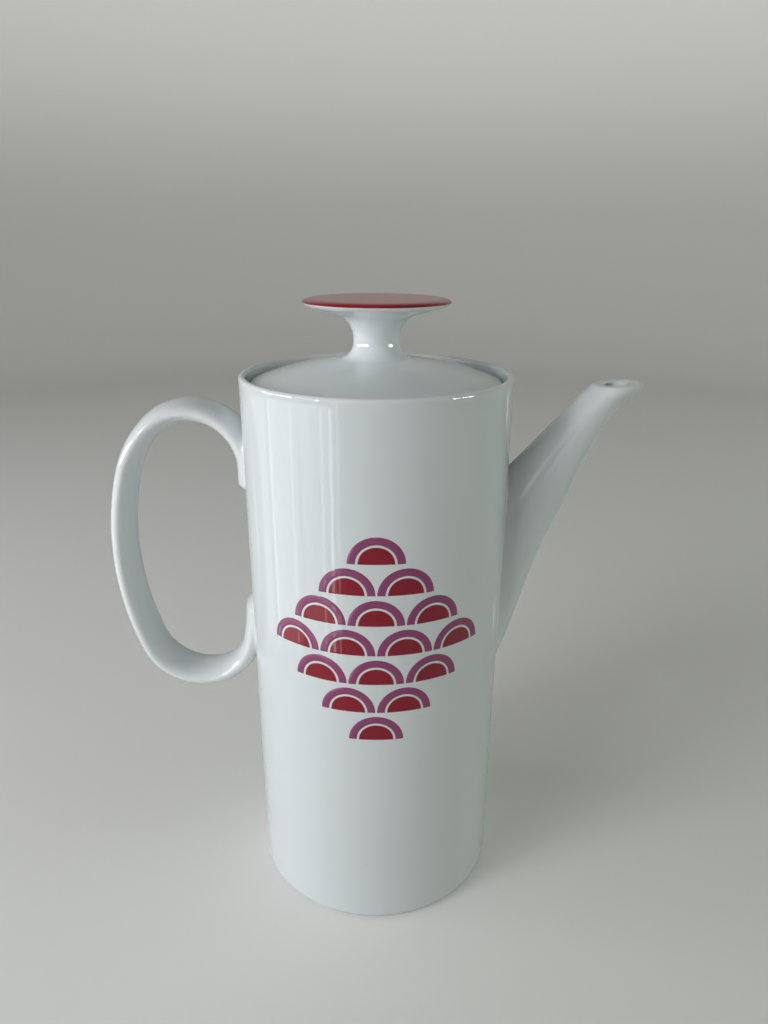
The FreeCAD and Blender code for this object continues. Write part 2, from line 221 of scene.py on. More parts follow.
def noise(tree, place, scale, detail):
    """Soft noise between 0 and 1."""
    node = add_node(tree, "ShaderNodeTexNoise", scale=scale, detail=detail)
    tree.links.new(place, node.inputs["Vector"])
    return node.outputs[0]


# %% Glaze as a node group
# scale and detail of the three noises
DRIFT_NOISE = (11.0, 2.0)
PEEL_NOISE = (330.0, 2.0)
RIPPLE_NOISE = (120.0, 1.0)
PEEL_MM = 0.0012
RIPPLE_MM = 0.03
DEEP_TINT = (0.90, 0.93, 0.95, 1)
DEEP_SHARE = 0.55
GLOSS_LEAST = 0.01
GLOSS_SPREAD = 0.02
SPECK_SCALE = 120.0
SPECK_SIZE = 0.028
SPECK_RARITY = 0.86
SPECK_COLOUR = (0.16, 0.13, 0.11, 1)
SPECK_SHARE = 0.35

GLAZE_INPUTS = {"Colour": "Color", "Thin Colour": "Color", "Thin": "Float"}
GLAZE_OUTPUTS = {"Colour": "Color", "Roughness": "Float", "Height": "Float"}


def glaze_group():
    """The skin of glaze, from the fired colour, the colour of a thin edge, and where such edges are."""
    tree = bpy.data.node_groups.new("glaze_skin", "ShaderNodeTree")
    for in_out, sockets in (("INPUT", GLAZE_INPUTS), ("OUTPUT", GLAZE_OUTPUTS)):
        for name, kind in sockets.items():
            tree.interface.new_socket(name, in_out=in_out, socket_type=f"NodeSocket{kind}")
    inside = tree.nodes.new("NodeGroupInput")
    outside = tree.nodes.new("NodeGroupOutput")
    place = tree.nodes.new("ShaderNodeTexCoord").outputs["Object"]

    drift = noise(tree, place, *DRIFT_NOISE)
    deep = mix_colour(tree, 1.0, inside.outputs["Colour"], DEEP_TINT)
    deep.node.blend_type = "MULTIPLY"
    deepness = math_node(tree, "MULTIPLY", drift, DEEP_SHARE)
    colour = mix_colour(tree, deepness, inside.outputs["Colour"], deep)

    cells = add_node(tree, "ShaderNodeTexVoronoi", scale=SPECK_SCALE)
    tree.links.new(place, cells.inputs["Vector"])
    chance = tree.nodes.new("ShaderNodeSeparateColor")
    tree.links.new(cells.outputs["Color"], chance.inputs[0])
    rare = math_node(tree, "GREATER_THAN", chance.outputs[0], SPECK_RARITY)
    near = math_node(tree, "LESS_THAN", cells.outputs["Distance"], SPECK_SIZE)
    speck = math_node(tree, "MULTIPLY", math_node(tree, "MULTIPLY", rare, near), SPECK_SHARE)
    colour = mix_colour(tree, speck, colour, SPECK_COLOUR)
    colour = mix_colour(tree, inside.outputs["Thin"], colour, inside.outputs["Thin Colour"])
    tree.links.new(colour, outside.inputs["Colour"])

    gloss = math_node(tree, "ADD", math_node(tree, "MULTIPLY", drift, GLOSS_SPREAD), GLOSS_LEAST)
    tree.links.new(gloss, outside.inputs["Roughness"])
    peel = math_node(tree, "MULTIPLY", noise(tree, place, *PEEL_NOISE), PEEL_MM)
    ripple = math_node(tree, "MULTIPLY", noise(tree, place, *RIPPLE_NOISE), RIPPLE_MM)
    tree.links.new(math_node(tree, "ADD", peel, ripple), outside.inputs["Height"])
    return tree


glaze_skin = glaze_group()
print("glaze group:", len(glaze_skin.nodes), "nodes")

# %% [markdown]
# ## Porcelain and fired colours
# Four finishes share the glaze: the white body with its cool cast, the crimson enamel on the knob,
# and the two colours of the ornament. Only the white body has bare places, the foot ring and the
# lid's seat, which are wiped before firing so that the pot doesn't stick to the kiln or to its lid.
# They are rough and a little warmer. A painted picture could hold all this, but nodes stay sharp at
# any distance and need no file.

# %% Make the finishes
PORCELAIN = (0.790, 0.825, 0.832, 1)
# whiter where the glaze runs thin on an edge, and lightened further as a painted highlight on rims and
# edges
THIN_GLAZE_AND_HIGHLIGHT = (0.92, 0.915, 0.90, 1)
BARE_PORCELAIN = (0.74, 0.725, 0.69, 1)
BARE_ROUGHNESS = 0.72
CRIMSON = (0.500, 0.010, 0.030, 1)
DARK_CRIMSON = (0.265, 0.003, 0.015, 1)
PRINT_RED = (0.285, 0.0015, 0.018, 1)
PRINT_MAUVE = (0.300, 0.058, 0.165, 1)
GLAZE_IOR = 1.5
ENAMEL_SOFTNESS = 0.10
TRANSFER_SOFTNESS = 0.02


def new_finish(name):
    """A material with a glass-like surface, and its node tree."""
    material = bpy.data.materials.new(name)
    material.use_nodes = True
    shader = material.node_tree.nodes["Principled BSDF"]
    shader.inputs["IOR"].default_value = GLAZE_IOR
    return material, material.node_tree, shader


def lay_glaze(tree, shader, colour, thin_colour):
    """Put the glaze group on a finish: its height bumps the surface, in millimetres."""
    colours = {"colour": colour, "thin_colour": thin_colour}
    skin = add_node(tree, "ShaderNodeGroup", node_tree=glaze_skin, **colours)
    edges = add_node(tree, "ShaderNodeAttribute", attribute_name="thin")
    tree.links.new(edges.outputs["Fac"], skin.inputs["Thin"])
    bump = add_node(tree, "ShaderNodeBump", distance=MM)
    tree.links.new(skin.outputs["Height"], bump.inputs["Height"])
    tree.links.new(bump.outputs[0], shader.inputs["Normal"])
    return skin


def glazed(name, colour, thin_colour, softness):
    """A finish that is glazed all over, its gloss softer than plain glaze by the softness."""
    material, tree, shader = new_finish(name)
    skin = lay_glaze(tree, shader, colour, thin_colour)
    tree.links.new(skin.outputs["Colour"], shader.inputs["Base Color"])
    rough = math_node(tree, "ADD", skin.outputs["Roughness"], softness)
    tree.links.new(rough, shader.inputs["Roughness"])
    return material


def porcelain_finish():
    """White glaze that gives way to bare porcelain where the piece's mask 'bare' says so."""
    material, tree, shader = new_finish("white_glaze")
    skin = lay_glaze(tree, shader, PORCELAIN, THIN_GLAZE_AND_HIGHLIGHT)
    bare = add_node(tree, "ShaderNodeAttribute", attribute_name="bare").outputs["Fac"]
    colour = mix_colour(tree, bare, skin.outputs["Colour"], BARE_PORCELAIN)
    tree.links.new(colour, shader.inputs["Base Color"])
    gap = math_node(tree, "SUBTRACT", BARE_ROUGHNESS, skin.outputs["Roughness"])
    rough = math_node(tree, "ADD", skin.outputs["Roughness"], math_node(tree, "MULTIPLY", gap, bare))
    tree.links.new(rough, shader.inputs["Roughness"])
    return material


white_glaze = porcelain_finish()
crimson = glazed("crimson_enamel", CRIMSON, DARK_CRIMSON, ENAMEL_SOFTNESS)
red_transfer = glazed("red_transfer", PRINT_RED, PRINT_RED, TRANSFER_SOFTNESS)
mauve_transfer = glazed("mauve_transfer", PRINT_MAUVE, PRINT_MAUVE, TRANSFER_SOFTNESS)
finishes = (white_glaze, crimson, red_transfer, mauve_transfer)
print("finishes:", ", ".join(finish.name for finish in finishes))

# %% [markdown]
# ## Outlines
# A potter turns a pot with a template, and a turned surface needs the same thing: an outline in
# radius and level. Its corners are arcs of a known radius, because glaze leaves no sharp corner.
# The straight stretches between arcs get points that crowd towards their ends. Without those, the
# smooth shading would bleed from a tight corner far into the flat wall beside it.

# %% Arcs, corners and straight gaps
ARC_STEPS = 8


def circle(angle):
    """The point (cos a, sin a) for each angle."""
    return np.stack([np.cos(angle), np.sin(angle)], axis=-1)


def unit(vectors):
    """The same directions, each one long."""
    return vectors / np.linalg.norm(vectors, axis=-1)[..., None]


def arc(centre, radius, start, end, steps=ARC_STEPS):
    """Points at centre + radius (cos a, sin a), with a going evenly from start to end in degrees."""
    return np.array(centre) + radius * circle(np.radians(np.linspace(start, end, steps + 1)))


def corner_arc(before, corner, after, radius):
    """The arc that touches both straight sides of a corner.

    Its centre is on the bisector, radius / sin(half the angle) from the corner. The arm from the
    centre swings evenly from one side's touching point to the other's.
    """
    sides = unit(np.array([before, after]) - corner)
    half = np.arccos(sides[0] @ sides[1]) / 2
    centre = corner + unit(sides.sum(axis=0)) * radius / np.sin(half)
    arms = corner + sides * radius / np.tan(half) - centre
    swing = np.pi - 2 * half
    share = np.linspace(0, 1, ARC_STEPS + 1)[:, None]
    swung = np.sin((1 - share) * swing) * arms[0] + np.sin(share * swing) * arms[1]
    return centre + swung / np.sin(swing)


def rounded(corners, rounds):
    """The corners of an outline as arcs, one radius each, between a first and a last point."""
    corners = np.array(corners)
    sides = zip(corners[:-2], corners[1:-1], corners[2:], rounds)
    arcs = [corner_arc(*side) for side in sides]
    return [corners[:1], *arcs, corners[-1:]]


def outline(pieces, step):
    """Join arcs into one outline and fill the straight gaps.

    The k-th of n points in a gap lies (1 - cos(pi k / n)) / 2 of the way along it.
    """
    joined = [pieces[0]]
    for piece in pieces[1:]:
        start = joined[-1][-1]
        across = piece[0] - start
        count = int(np.ceil(np.linalg.norm(across) / step))
        share = (1 - np.cos(np.pi * np.arange(1, count) / count)) / 2
        joined.append(start + share[:, None] * across)
        joined.append(piece)
    return np.vstack(joined)


print("a rounded corner has", ARC_STEPS + 1, "points")

# %% Turn an outline
TURN_COLUMNS = 240


def turned_rings(profile):
    """Row i of the grid is a circle about the upright: point j is (r cos a, r sin a, z).

    r and z are point i of the profile, and a is j even steps of a full turn. The two ends of the
    profile lie on the axis and are left out, because each becomes one pole.
    """
    angle = np.linspace(0, 2 * np.pi, TURN_COLUMNS, endpoint=False)
    radius, level = profile[1:-1].T[:, :, None]
    points = np.broadcast_arrays(radius * np.cos(angle), radius * np.sin(angle), level)
    return np.stack(points, axis=-1)


def turned_faces(numbers):
    """Cells of the rings, then fans to the pole before the first ring and the one after the last."""
    pole = numbers.size
    return [quads(wrapped(numbers, 1)), fan(pole, numbers[0][::-1]), fan(pole + 1, numbers[-1])]


def with_poles(rings, profile):
    """The points of the rings, then the two poles on the axis."""
    poles = np.array([[0, 0, profile[0][1]], [0, 0, profile[-1][1]]])
    return np.vstack([rings.reshape(-1, 3), poles])


def turned_piece(name, profile, material):
    """A closed piece from a profile that starts and ends on the axis."""
    rings = turned_rings(profile)
    faces = turned_faces(grid_numbers(*rings.shape[:2]))
    return make_piece(name, with_poles(rings, profile), faces, material)


def ring_mask(per_row):
    """A mask for a turned piece: one value per point of its profile, the same all the way round."""
    return np.concatenate([np.repeat(per_row[1:-1], TURN_COLUMNS), per_row[:1], per_row[-1:]])


print("a turned ring has", TURN_COLUMNS, "points")

# %% [markdown]
# ## The pot
# The wall widens only slightly towards the rim, which tapers to a rounded lip. Inside the rim is
# the ledge that carries the lid, and the floor stands on a foot ring. All that is one outline
# turned about the axis. What isn't round is the port behind the spout, a slot through the wall. A
# boolean would cut it, but leaves ragged cells. Here the grid itself makes room: the points around
# a block of cells slide until the block's border is the slot's outline, the block is left out, and
# its two borders, outside and inside, are joined by a tunnel.

# %% Sizes of the pot
pot_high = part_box("pot_body")[1]
RIM_RADIUS = pot_high.y
RIM_LEVEL = pot_high.z
BASE_RADIUS = 48.7 * MM
WALL = 3.2 * MM
RIM_THICKNESS = 2.7 * MM
SEAT_LEVEL = 202.6 * MM
SEAT_RADIUS = 42.4 * MM
SEAT_LIP = 3.0 * MM
SEAT_SLOPE = 11.0 * MM
FLOOR_LEVEL = 5.2 * MM
FOOT_RADIUS = 40.5 * MM
FOOT_RECESS = 2.2 * MM
PORT_WIDTH = 12.0 * MM
PORT_LOW = 116.0 * MM
PORT_HIGH = 164.0 * MM
POT_STEP = 5.0 * MM


def wall_radius(level):
    """Outer radius of the tapered wall at a level."""
    return BASE_RADIUS + (RIM_RADIUS - BASE_RADIUS) * level / RIM_LEVEL


def inner_radius(level):
    """Inner radius of the tapered wall between the floor and the slope under the seat."""
    share = (level - FLOOR_LEVEL) / (SEAT_LEVEL - SEAT_LIP - SEAT_SLOPE - FLOOR_LEVEL)
    return BASE_RADIUS - WALL + (RIM_RADIUS - BASE_RADIUS) * share


print(f"rim {2 * RIM_RADIUS / MM:.1f} mm across at {RIM_LEVEL / MM:.1f} mm")

# %% Outline of the pot
PORT_ROWS = 10
PORT_COLUMNS = 5
PORT_REACH = 1.6
PORT_MIDDLE = (PORT_LOW + PORT_HIGH) / 2
PORT_HALF_HEIGHT = (PORT_HIGH - PORT_LOW) / 2

POT_CORNERS = [
    (0, FOOT_RECESS),
    (FOOT_RADIUS - FOOT_RECESS, FOOT_RECESS),
    (FOOT_RADIUS, 0),
    (BASE_RADIUS, 0),
    (RIM_RADIUS, RIM_LEVEL),
    (RIM_RADIUS - RIM_THICKNESS, RIM_LEVEL),
    (RIM_RADIUS - RIM_THICKNESS, SEAT_LEVEL),
    (SEAT_RADIUS, SEAT_LEVEL),
    (SEAT_RADIUS, SEAT_LEVEL - SEAT_LIP),
    (RIM_RADIUS - WALL, SEAT_LEVEL - SEAT_LIP - SEAT_SLOPE),
    (BASE_RADIUS - WALL, FLOOR_LEVEL),
    (0, FLOOR_LEVEL),
]
POT_ROUNDS = np.array([1.2, 0.5, 2.4, 1.25, 1.25, 0.7, 1.0, 1.0, 8.0, 7.0]) * MM
# places of the foot's edge and of the slope's end among the corners
FOOT_EDGE = 3
SLOPE_END = 9

window_half_rows = int(PORT_ROWS * PORT_REACH)
window_rows = np.arange(-window_half_rows, window_half_rows + 1)
port_levels = PORT_MIDDLE + PORT_HALF_HEIGHT / PORT_ROWS * window_rows
outer_rows = np.stack([wall_radius(port_levels), port_levels], axis=-1)
inner_rows = np.stack([inner_radius(port_levels), port_levels], axis=-1)[::-1]

bends = rounded(POT_CORNERS, POT_ROUNDS)
bends.insert(SLOPE_END + 1, inner_rows)
bends.insert(FOOT_EDGE + 1, outer_rows)
pot_profile = outline(bends, POT_STEP)
print("pot outline:", len(pot_profile), "points")

# %% Slide a window of points to the slot
TINY = 1e-9

window_half_columns = int(PORT_COLUMNS * PORT_REACH)
window_columns = np.arange(-window_half_columns, window_half_columns + 1)


def slot_shift(across, along):
    """How far each point of a window round the port slides, in metres sideways and up.

    across and along count cells from the port's middle, so that the block's border is at 1. A
    border point with unit-square place (s, t) goes to the slot's outline: on the straight sides it
    keeps t, and on the round ends it stands at s quarter turns from the top. Further out the slide
    fades evenly to nothing at PORT_REACH.
    """
    ring = np.maximum(np.maximum(np.abs(across), np.abs(along)), TINY)
    s = across / ring
    t = along / ring
    half = PORT_WIDTH / 2
    straight = PORT_HALF_HEIGHT - half
    on_end = np.abs(along) >= np.abs(across)
    quarter = s * np.pi / 2
    sideways = np.where(on_end, half * np.sin(quarter), half * s)
    upwards = np.where(on_end, np.sign(t) * (straight + half * np.cos(quarter)), straight * t)
    block_half = PORT_COLUMNS * 2 * np.pi * RIM_RADIUS / TURN_COLUMNS
    fade = np.clip((PORT_REACH - ring) / (PORT_REACH - 1), 0, 1)
    return fade * (sideways - s * block_half), fade * (upwards - t * PORT_HALF_HEIGHT)


def port_window(profile, rows):
    """Grid places of the window round the port, as row and column numbers, rows from low to high."""
    first = int(np.argmin(np.linalg.norm(profile[1:-1] - rows[0], axis=1)))
    row_numbers = first + np.arange(len(rows))
    if rows[0][1] > rows[-1][1]:
        row_numbers = row_numbers[::-1]
    return np.ix_(row_numbers, window_columns % TURN_COLUMNS)


def slide_window(rings, window, radius_at):
    """Slide the window's points on their own wall, whose radius at a level is radius_at(level)."""
    across, along = np.meshgrid(window_columns / PORT_COLUMNS, window_rows / PORT_ROWS)
    sideways, upwards = slot_shift(across, along)
    level = PORT_MIDDLE + along * PORT_HALF_HEIGHT + upwards
    angle = across * PORT_COLUMNS * 2 * np.pi / TURN_COLUMNS + sideways / RIM_RADIUS
    radius = radius_at(level)
    rings[window] = np.stack([radius * np.cos(angle), radius * np.sin(angle), level], axis=-1)


def port_block(numbers, window):
    """Point numbers of the block of cells that the port takes away."""
    rows = np.abs(window_rows) <= PORT_ROWS
    columns = np.abs(window_columns) <= PORT_COLUMNS
    return numbers[window][rows][:, columns]


def border(block):
    """Numbers round the edge of a grid: along its first row, up, back along its last row and down."""
    return np.concatenate([block[0, :-1], block[:-1, -1], block[-1, :0:-1], block[:0:-1, 0]])


print(f"port {PORT_WIDTH / MM:.0f} mm wide and {2 * PORT_HALF_HEIGHT / MM:.0f} mm high")

# %% Turn the pot and open its port
rings = turned_rings(pot_profile)
numbers = grid_numbers(*rings.shape[:2])
pot_faces = turned_faces(numbers)
borders = []
for rows, radius_at in ((inner_rows, inner_radius), (outer_rows, wall_radius)):
    window = port_window(pot_profile, rows)
    slide_window(rings, window, radius_at)
    block = port_block(numbers, window)
    taken = np.isin(pot_faces[0], block).all(axis=1)
    pot_faces[0] = pot_faces[0][~taken]
    borders.append(border(block))
tunnel = quads(wrapped(np.stack(borders), 1))
pot_faces.append(tunnel)
pot = make_piece("pot_shell", with_poles(rings, pot_profile), pot_faces, white_glaze)
print("faces of the tunnel:", len(tunnel))

# %% Bare places, and thin places with a painted highlight, of the pot
FOOT_WIPED = 0.15 * MM
SEAT_WIPED = 0.1 * MM
RIM_THIN_AND_HIGHLIGHT_DEPTH = 1.4 * MM
THIN_AND_HIGHLIGHT_SHARE = 0.8

radius, level = pot_profile.T
on_foot = (level < FOOT_WIPED) & (radius > FOOT_RADIUS)
on_seat = (np.abs(level - SEAT_LEVEL) < SEAT_WIPED) & (radius < RIM_RADIUS - RIM_THICKNESS)
add_mask(pot, "bare", ring_mask((on_foot | on_seat).astype(float)))
# the top of the rim takes the thin-glaze colour, which also paints its highlight line
rim_thin_and_highlight = np.clip(1 - (RIM_LEVEL - level) / RIM_THIN_AND_HIGHLIGHT_DEPTH, 0, 1)
add_mask(pot, "thin", ring_mask(THIN_AND_HIGHLIGHT_SHARE * rim_thin_and_highlight))
dress(pot, "pot", "porcelain", "pot_body")

# %% [markdown]
# ## The spout
# The spout is cast hollow: a tall oval where it stands on the wall, a round mouth where it pours,
# its plane swinging from upright to level on the way. Seven ovals describe it. Natural splines
# through their five numbers give an oval anywhere between, and the same ovals drawn in by the wall
# make the bore. On the pouring side the lip pouts out and up over a hollow, so that the last drop
# falls clear. The grid runs up the outside, over the lip, and down the bore. Where the spout meets
# the wall the maker wipes slip into the corner, so the grid starts on the wall with a small hollow
# curve.

# %% Ovals along the spout
# centre x, centre z, half height, half width in millimetres, and tilt from level in degrees
SPOUT_STATIONS = np.array([
    (45.0, 125.3, 43.8, 12.0, 90.0),
    (53.2, 143.3, 34.2, 11.5, 88.8),
    (61.2, 162.6, 22.6, 10.9, 85.5),
    (69.2, 178.6, 14.2, 10.0, 76.5),
    (76.8, 193.0, 7.8, 9.0, 49.0),
    (82.6, 201.4, 7.4, 8.4, 14.0),
    (87.4, 206.2, 8.5, 8.5, 0.0),
])

spout_numbers = SPOUT_STATIONS * [MM, MM, MM, MM, np.pi / 180]
spout_steps = np.linalg.norm(np.diff(spout_numbers[:, :2], axis=0), axis=1)
spout_length = spout_steps.sum()
spout_knots = np.concatenate([[0], np.cumsum(spout_steps)]) / spout_length
print(f"spout centre line {spout_length / MM:.0f} mm from root to lip")

# %% Splines through the ovals


def spline(knots, values, at):
    """Natural cubic spline: a cubic between each two knots, slope and bend running on through them.

    The bends at the knots solve one set of linear equations, with none at the two ends. Between
    knots, a value is the straight line through its neighbours plus (w^3 - w) h^2 / 6 of each
    neighbour's bend, where w is the share of that neighbour and h the gap between them.
    """
    gap = np.diff(knots)
    slope = np.diff(values, axis=0) / gap[:, None]
    system = np.eye(len(knots))
    inner = np.arange(1, len(knots) - 1)
    system[inner, inner - 1] = gap[:-1]
    system[inner, inner] = 2 * (gap[:-1] + gap[1:])
    system[inner, inner + 1] = gap[1:]
    right = np.zeros_like(values)
    right[1:-1] = 6 * np.diff(slope, axis=0)
    bend = np.linalg.solve(system, right)
    place = np.clip(np.searchsorted(knots, at, side="right") - 1, 0, len(gap) - 1)
    width = gap[place][..., None]
    late = (at - knots[place])[..., None] / width
    early = 1 - late
    line = early * values[place] + late * values[place + 1]
    swell = (early ** 3 - early) * bend[place] + (late ** 3 - late) * bend[place + 1]
    return line + swell * width ** 2 / 6


def spout_point(u, angle, inset):
    """A point of the spout: u from root (0) to lip (1), angle round the oval, inset from the outside.

    The oval's long axis is (cos tilt, 0, -sin tilt) and its short axis is Y.
    """
    x, z, half_height, half_width, tilt = np.moveaxis(spline(spout_knots, spout_numbers, u), -1, 0)
    along = (half_height - inset) * np.cos(angle)
    across = (half_width - inset) * np.sin(angle)
    return np.stack([x + along * np.cos(tilt), across, z - along * np.sin(tilt)], axis=-1)


tallest = spout_point(np.array(0.0), np.array([0, np.pi]), 0)
print(f"spout root {np.ptp(tallest[:, 2]) / MM:.1f} mm tall")

# %% The pouring side
# depth below the lip and how far the pouring side stands out there, in millimetres
POURING_SIDE = np.array([
    (0.0, 0.7), (1.5, 1.5), (2.8, 1.6), (4.6, -0.35), (7.0, -0.95),
    (10.0, -0.8), (15.0, -0.45), (22.0, -0.05), (28.0, 0.0),
])
POUT = 1.15 * MM
POUT_DEPTH = 5.0 * MM


def smooth_step(share):
    """3 s^2 - 2 s^3: a rise from 0 to 1 that starts and ends level, with s held between 0 and 1."""
    s = np.clip(share, 0, 1)
    return s ** 2 * (3 - 2 * s)


def pouring_edge(u, angle, outer):
    """How far the pouring side stands out (+X) and up (+Z) from the ovals.

    It stands out by a spline down from the lip, times ((1 + cos angle) / 2)^2, which is 1 on the
    pouring side and 0 on the side of the pot, and times outer, which is 1 on the outside and 0 in
    the bore. The lip pouts up by the root of the same share, fading smoothly with depth.
    """
    depth, swell = POURING_SIDE.T * MM
    below = (1 - u) * spout_length
    share = (1 + np.cos(angle)) / 2
    out = spline(depth, swell[:, None], np.clip(below, 0, depth[-1]))[..., 0] * share ** 2 * outer
    up = POUT * share * smooth_step(1 - below / POUT_DEPTH)
    return np.stack([out, 0 * out, up + 0 * out], axis=-1)


print(f"lip stands out {POURING_SIDE[:, 1].max()} mm over a hollow of {-POURING_SIDE[:, 1].min()} mm")

# %% Where the spout meets the wall
HALVINGS = 40


def above_wall(points):
    """Distance of each point outside the tapered wall, level for level."""
    return np.hypot(points[..., 0], points[..., 1]) - wall_radius(points[..., 2])


def wall_crossing(angle, inset):
    """The u at which each line of the spout leaves the wall, by halving the interval that holds it."""
    low = np.zeros_like(angle)
    high = np.ones_like(angle)
    for _ in range(HALVINGS):
        middle = (low + high) / 2
        outside = above_wall(spout_point(middle, angle, inset)) > 0
        high = np.where(outside, middle, high)
        low = np.where(outside, low, middle)
    return high


def onto_wall(points, height):
    """The same points moved level to a height above the wall."""
    reach = (wall_radius(points[..., 2]) + height) / np.hypot(points[..., 0], points[..., 1])
    return points * np.stack([reach, reach, np.ones_like(reach)], axis=-1)


def wall_normal(points):
    """Direction straight out of the wall."""
    return unit(points * [1, 1, 0])


def slip_curve(foot, start, rise, rows):
    """Hollow curve of slip: foot on the wall, a corner at start, and its end a rise up the piece.

    It is the parabola (1-w)^2 foot + 2 w (1-w) start + w^2 rise, which touches both surfaces.
    """
    w = np.linspace(0, 1, rows)[:, None, None]
    return (1 - w) ** 2 * foot + 2 * w * (1 - w) * start + w ** 2 * rise


print(f"wall {wall_radius(PORT_MIDDLE) / MM:.2f} mm from the axis behind the spout")

# %% Slip round the root of the spout
SPOUT_COLUMNS = 128
SLIP_REACH = 1.6 * MM
SLIP_SINK = 0.06 * MM
SLIP_ROWS = 9
SHORT_WAY = 1e-4

around = np.linspace(0, 2 * np.pi, SPOUT_COLUMNS, endpoint=False)
start_u = wall_crossing(around, 0)
joint = spout_point(start_u, around, 0)
speed = np.linalg.norm(spout_point(start_u + SHORT_WAY, around, 0) - joint, axis=-1) / SHORT_WAY
rise_u = start_u + SLIP_REACH / speed

tangent = np.roll(joint, -1, axis=0) - np.roll(joint, 1, axis=0)
away = unit(np.cross(wall_normal(joint), tangent))
outward_side = np.sign(((joint - joint.mean(axis=0)) * away).sum(axis=-1))[:, None]
foot = onto_wall(joint + away * outward_side * SLIP_REACH, -SLIP_SINK)
slip = slip_curve(foot, joint, spout_point(rise_u, around, 0), SLIP_ROWS)
print(f"slip from {foot[:, 2].min() / MM:.1f} to {foot[:, 2].max() / MM:.1f} mm up the wall")

# %% Build the spout
SPOUT_WALL = 2.6 * MM
LIP_WALL = 4.4 * MM
LIP_RISE = 0.7 * MM
LIP_TAPER = 0.3
OUTSIDE_ROWS = 90
CROWDING = 1.6
LIP_ROWS = 13
BORE_ROWS = 70

lip_speed = np.linalg.norm(spout_numbers[-1, :2] - spout_numbers[-2, :2]) / (1 - spout_knots[-2])
lip_turn = np.linspace(0, np.pi, LIP_ROWS)[:, None]
lip_top = 1 - LIP_RISE * (1 - np.sin(lip_turn)) / lip_speed
lip_inset = LIP_WALL / 2 * (1 - np.cos(lip_turn))
outside_share = 1 - np.linspace(1, 0, OUTSIDE_ROWS + 1)[1:-1, None] ** CROWDING
outside_u = rise_u + outside_share * (lip_top[0] - rise_u)
outside = spout_point(outside_u, around, 0) + pouring_edge(outside_u, around, 1)
lip_u = lip_top + 0 * around
lip_outer = 1 - lip_inset / LIP_WALL
lip = spout_point(lip_u, around, lip_inset) + pouring_edge(lip_u, around, lip_outer)

bore_end = wall_crossing(around, SPOUT_WALL)
bore_u = lip_top[-1] + np.linspace(0, 1, BORE_ROWS + 1)[1:, None] * (bore_end - lip_top[-1])
bore_inset = LIP_WALL + (SPOUT_WALL - LIP_WALL) * smooth_step((1 - bore_u) / LIP_TAPER)
bore = spout_point(bore_u, around, bore_inset) + pouring_edge(bore_u, around, 0)
bore[-1] = onto_wall(bore[-1], -SLIP_SINK)

spout_grid = np.concatenate([slip, outside, lip, bore])
numbers = grid_numbers(*spout_grid.shape[:2])
spout_faces = [quads(wrapped(wrapped(numbers, 0), 1))]
spout = make_piece("spout_shell", spout_grid, spout_faces, white_glaze)
# the crest of the lip takes the thin-glaze colour: thin glaze and a painted highlight
spout_lip_thin_and_highlight = np.zeros(spout_grid.shape[:2])
spout_lip_thin_and_highlight[SLIP_ROWS + len(outside):][:LIP_ROWS] = THIN_AND_HIGHLIGHT_SHARE * np.sin(lip_turn)
add_mask(spout, "thin", spout_lip_thin_and_highlight)
dress(spout, "pot", "porcelain", "spout")

# %% [markdown]
# ## The handle
# The handle is a ribbon with an oval section, pressed straight and then bent round while it is
# soft. A bent strip is best described by how it turns: along each stretch its heading changes
# evenly, and its points are the running sum of small steps along the heading. The oval is carried
# along that path. Both ends lie on the wall and close in a rounded tip. Every point near the wall
# is pushed along it, away from the ribbon, by the law of a quarter circle, which makes the hollow
# corner of wiped slip.

# %% The bent path
handle_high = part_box("handle")[1]
RIBBON_WIDTH = 2 * handle_high.y
RIBBON_THICKNESS = 8.4 * MM
HANDLE_SINK = 0.7 * MM
HANDLE_TOP_END = 165.0 * MM
HANDLE_TOP_RUN = 8.1 * MM
HANDLE_RADII = np.array([21.5, 43.1, 116.4, 22.6, 97.2]) * MM
HANDLE_TURNS = np.radians([134.2, 29.7, 36.8, 148.0, 11.3])
PATH_STEPS = 4000

handle_ends = np.cumsum([0, HANDLE_TOP_RUN, *(HANDLE_RADII * HANDLE_TURNS)])
handle_headings = np.cumsum([0, 0, *HANDLE_TURNS])
handle_length = handle_ends[-1]


def handle_path(along):
    """Points and headings of the path at distances along it, by summing small steps.

    Heading 0 is straight up and a positive heading leans towards -X.
    """
    fine = np.linspace(0, handle_length, PATH_STEPS + 1)
    heading = np.interp(fine, handle_ends, handle_headings)
    step = np.stack([-np.sin(heading), np.cos(heading)], axis=-1) * handle_length / PATH_STEPS
    start = [-wall_radius(HANDLE_TOP_END) + HANDLE_SINK, HANDLE_TOP_END]
    points = start + np.concatenate([[[0, 0]], np.cumsum((step[1:] + step[:-1]) / 2, axis=0)])
    x, z = [np.interp(along, fine, column) for column in points.T]
    return x, z, np.interp(along, fine, heading)


print(f"handle {handle_length / MM:.0f} mm along its middle")

# %% Carry the oval along the path
TIP_LENGTHS = np.array([2.6, 4.5]) * MM
TIP_ROWS = 10
HANDLE_ROWS = 340
HANDLE_COLUMNS = 96

tip = np.linspace(0, np.pi / 2, TIP_ROWS + 1)[1:]
first_tip = TIP_LENGTHS[0] * (1 - np.cos(tip))
last_tip = handle_length - TIP_LENGTHS[1] * (1 - np.cos(tip))[::-1]
middle = np.linspace(first_tip[-1], last_tip[0], HANDLE_ROWS)[1:-1]
along = np.concatenate([first_tip, middle, last_tip])
swell = np.concatenate([np.sin(tip), np.ones_like(middle), np.sin(tip)[::-1]])

